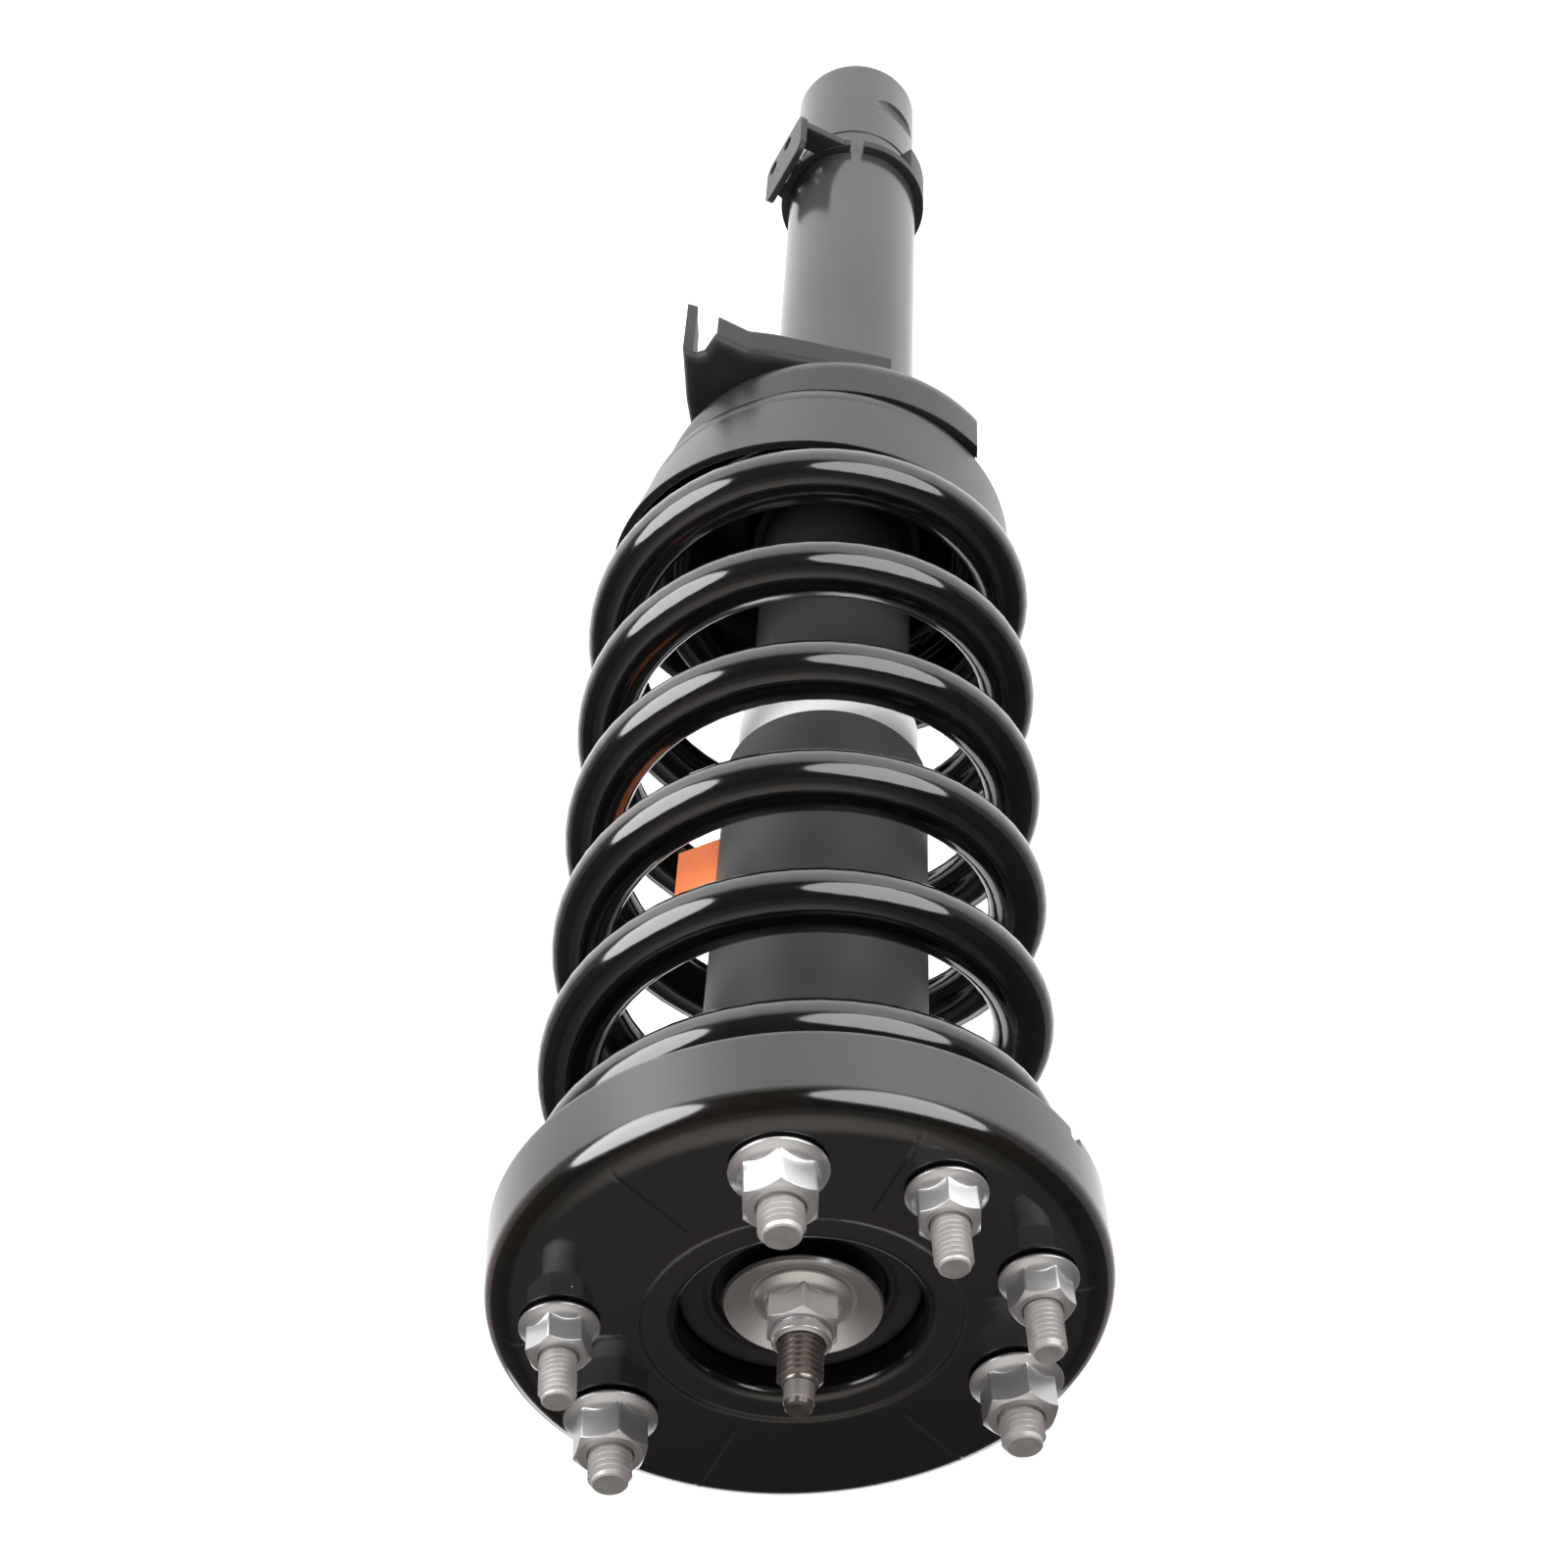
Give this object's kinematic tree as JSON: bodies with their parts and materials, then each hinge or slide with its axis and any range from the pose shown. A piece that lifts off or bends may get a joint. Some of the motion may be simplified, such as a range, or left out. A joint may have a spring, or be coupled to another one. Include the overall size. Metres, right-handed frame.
{
  "type": "strut assembly",
  "caption": "Coil-over suspension strut with studded upper mount, dust cover, coil spring on a dished seat, hose bracket and a plain clamped lower tube.",
  "frame": {"origin": "centre of the upper mount plate's bolting face", "axes": "+Z along the damper's axis towards the upper mount, -Z towards the clamped lower end of the tube, +X towards the hose bracket's arm"},
  "size_m": [0.1639, 0.1634, 0.6401],
  "materials": {
    "gloss_black": "gloss black paint",
    "satin_black": "satin black paint",
    "zinc": "bright zinc plate",
    "stud_steel": "matt zinc plate",
    "rod_chrome": "hard chrome, ground",
    "plain_steel": "plain steel",
    "rubber_black": "moulded rubber",
    "foam_grey": "microcellular polyurethane",
    "cover_black": "satin black plastic",
    "tag_orange": "plain orange film"
  },
  "bodies": {
    "mount": {"mount_plate": "gloss_black", "large_studs": "stud_steel", "small_studs": "stud_steel", "large_nuts": "zinc", "small_nuts": "zinc", "bush_retainer": "satin_black", "bush_rubber": "rubber_black", "upper_spring_pad": "rubber_black"},
    "rod": {"bush_sleeve": "plain_steel", "upper_cup_washer": "zinc", "lower_washer": "zinc", "rod_nut": "zinc", "piston_rod": "rod_chrome", "bump_stop": "foam_grey", "dust_cover": "cover_black", "tag": "tag_orange", "coil_spring": "gloss_black", "piston": "plain_steel", "piston_band": "cover_black", "rebound_stop": "plain_steel", "piston_nut": "plain_steel"},
    "damper": {"damper_tube": "satin_black", "bump_cap": "zinc", "rod_guide": "plain_steel", "rod_seal": "rubber_black", "inner_cylinder": "plain_steel", "base_valve": "plain_steel", "spring_seat": "satin_black", "support_cup": "satin_black", "lower_spring_pad": "rubber_black", "hose_bracket": "satin_black", "locating_collar": "satin_black", "clip_tab": "satin_black"}
  },
  "joints": [
    {"name": "bush_tilt", "type": "hinge", "parent": "mount", "child": "rod", "pos_m": [0, 0, -0.02], "axis": [0, 1, 0], "range_deg": [-2, 2], "stiffness_Nm_per_rad": 1500, "deforming": ["bush_rubber", "upper_spring_pad"]},
    {"name": "damper_stroke", "type": "slide", "parent": "rod", "child": "damper", "axis": [0, 0, 1], "range_m": [0, 0.115], "stiffness_N_per_m": 36000, "springref_m": -0.03, "deforming": ["coil_spring", "bump_stop"]}
  ]
}
